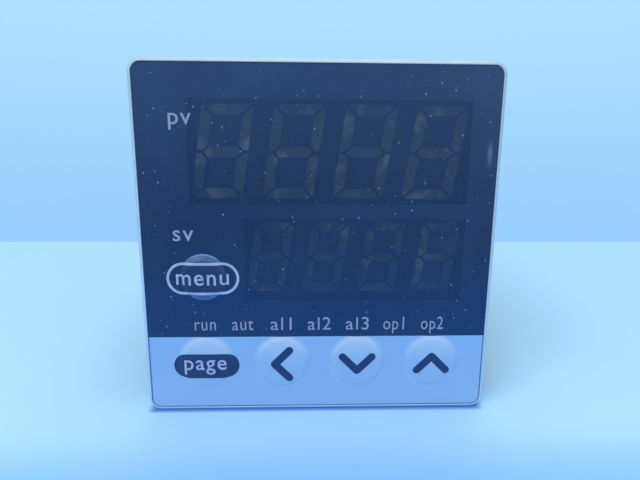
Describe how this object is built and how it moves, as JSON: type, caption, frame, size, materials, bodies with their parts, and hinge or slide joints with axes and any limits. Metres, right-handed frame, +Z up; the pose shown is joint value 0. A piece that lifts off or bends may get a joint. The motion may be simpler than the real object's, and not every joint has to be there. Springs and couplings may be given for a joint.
{
  "type": "panel temperature controller",
  "caption": "Square panel-mounted PID temperature controller with two digit displays, indicator lamps, film keys, a screw terminal block and a sliding mounting bracket.",
  "frame": {"origin": "middle of the panel's front surface, which is the gasket's rear face", "axes": "+X to the right as seen from the front, +Y back along the case, +Z up; the front faces -Y"},
  "size_m": [0.048, 0.0648, 0.048],
  "materials": {
    "bezel_plastic": "fine moulded grain",
    "printed_film": "smoked window over a light blue band",
    "key_film": "embossed film dome",
    "gasket_rubber": "matt sheet rubber",
    "display_plastic": "matt moulding",
    "segment_resin": "cast resin, unlit",
    "lamp_resin": "diffused resin, unlit",
    "switch_plastic": "moulded",
    "stem_plastic": "moulded",
    "circuit_board": "green solder resist",
    "header_plastic": "moulded",
    "ferrite": "ground ferrite",
    "bobbin_plastic": "moulded",
    "copper_winding": "enamelled wire under tape",
    "relay_plastic": "smooth moulding",
    "can_aluminium": "sleeved can",
    "chip_plastic": "moulded",
    "case_plastic": "fine spark grain",
    "terminal_plastic": "moulded",
    "plated_brass": "bright tin plate",
    "plated_steel": "bright zinc plate",
    "bracket_plastic": "moulded"
  },
  "bodies": {
    "housing": {"front_bezel": "bezel_plastic", "front_film": "printed_film", "panel_gasket": "gasket_rubber", "pv_display_housing": "display_plastic", "sv_display_housing": "display_plastic", "pv_display_segments": "segment_resin", "sv_display_segments": "segment_resin", "indicator_lamps": "lamp_resin", "key_switch_housings": "switch_plastic", "display_board": "circuit_board", "control_board": "circuit_board", "power_board": "circuit_board", "board_connectors": "header_plastic", "transformer_core": "ferrite", "transformer_bobbin": "bobbin_plastic", "transformer_winding": "copper_winding", "output_relays": "relay_plastic", "capacitor_cans": "can_aluminium", "processor_chip": "chip_plastic", "input_chips": "chip_plastic", "case": "case_plastic", "terminal_block": "terminal_plastic", "terminal_plates": "plated_brass", "terminal_washers": "plated_steel", "terminal_screws": "plated_steel"},
    "menu_key": {"menu_key_dome": "key_film", "menu_key_stem": "stem_plastic"},
    "page_key": {"page_key_dome": "key_film", "page_key_stem": "stem_plastic"},
    "left_key": {"left_key_dome": "key_film", "left_key_stem": "stem_plastic"},
    "down_key": {"down_key_dome": "key_film", "down_key_stem": "stem_plastic"},
    "up_key": {"up_key_dome": "key_film", "up_key_stem": "stem_plastic"},
    "bracket": {"mounting_bracket": "bracket_plastic"}
  },
  "joints": [
    {"name": "menu_key_press", "type": "slide", "parent": "housing", "child": "menu_key", "axis": [0, 1, 0], "range_m": [0, 0.00035], "stiffness_N_per_m": 500},
    {"name": "page_key_press", "type": "slide", "parent": "housing", "child": "page_key", "axis": [0, 1, 0], "range_m": [0, 0.00035], "stiffness_N_per_m": 500},
    {"name": "left_key_press", "type": "slide", "parent": "housing", "child": "left_key", "axis": [0, 1, 0], "range_m": [0, 0.00035], "stiffness_N_per_m": 500},
    {"name": "down_key_press", "type": "slide", "parent": "housing", "child": "down_key", "axis": [0, 1, 0], "range_m": [0, 0.00035], "stiffness_N_per_m": 500},
    {"name": "up_key_press", "type": "slide", "parent": "housing", "child": "up_key", "axis": [0, 1, 0], "range_m": [0, 0.00035], "stiffness_N_per_m": 500},
    {"name": "bracket_slide", "type": "slide", "parent": "housing", "child": "bracket", "axis": [0, 1, 0], "range_m": [-0.005, 0.024]}
  ]
}
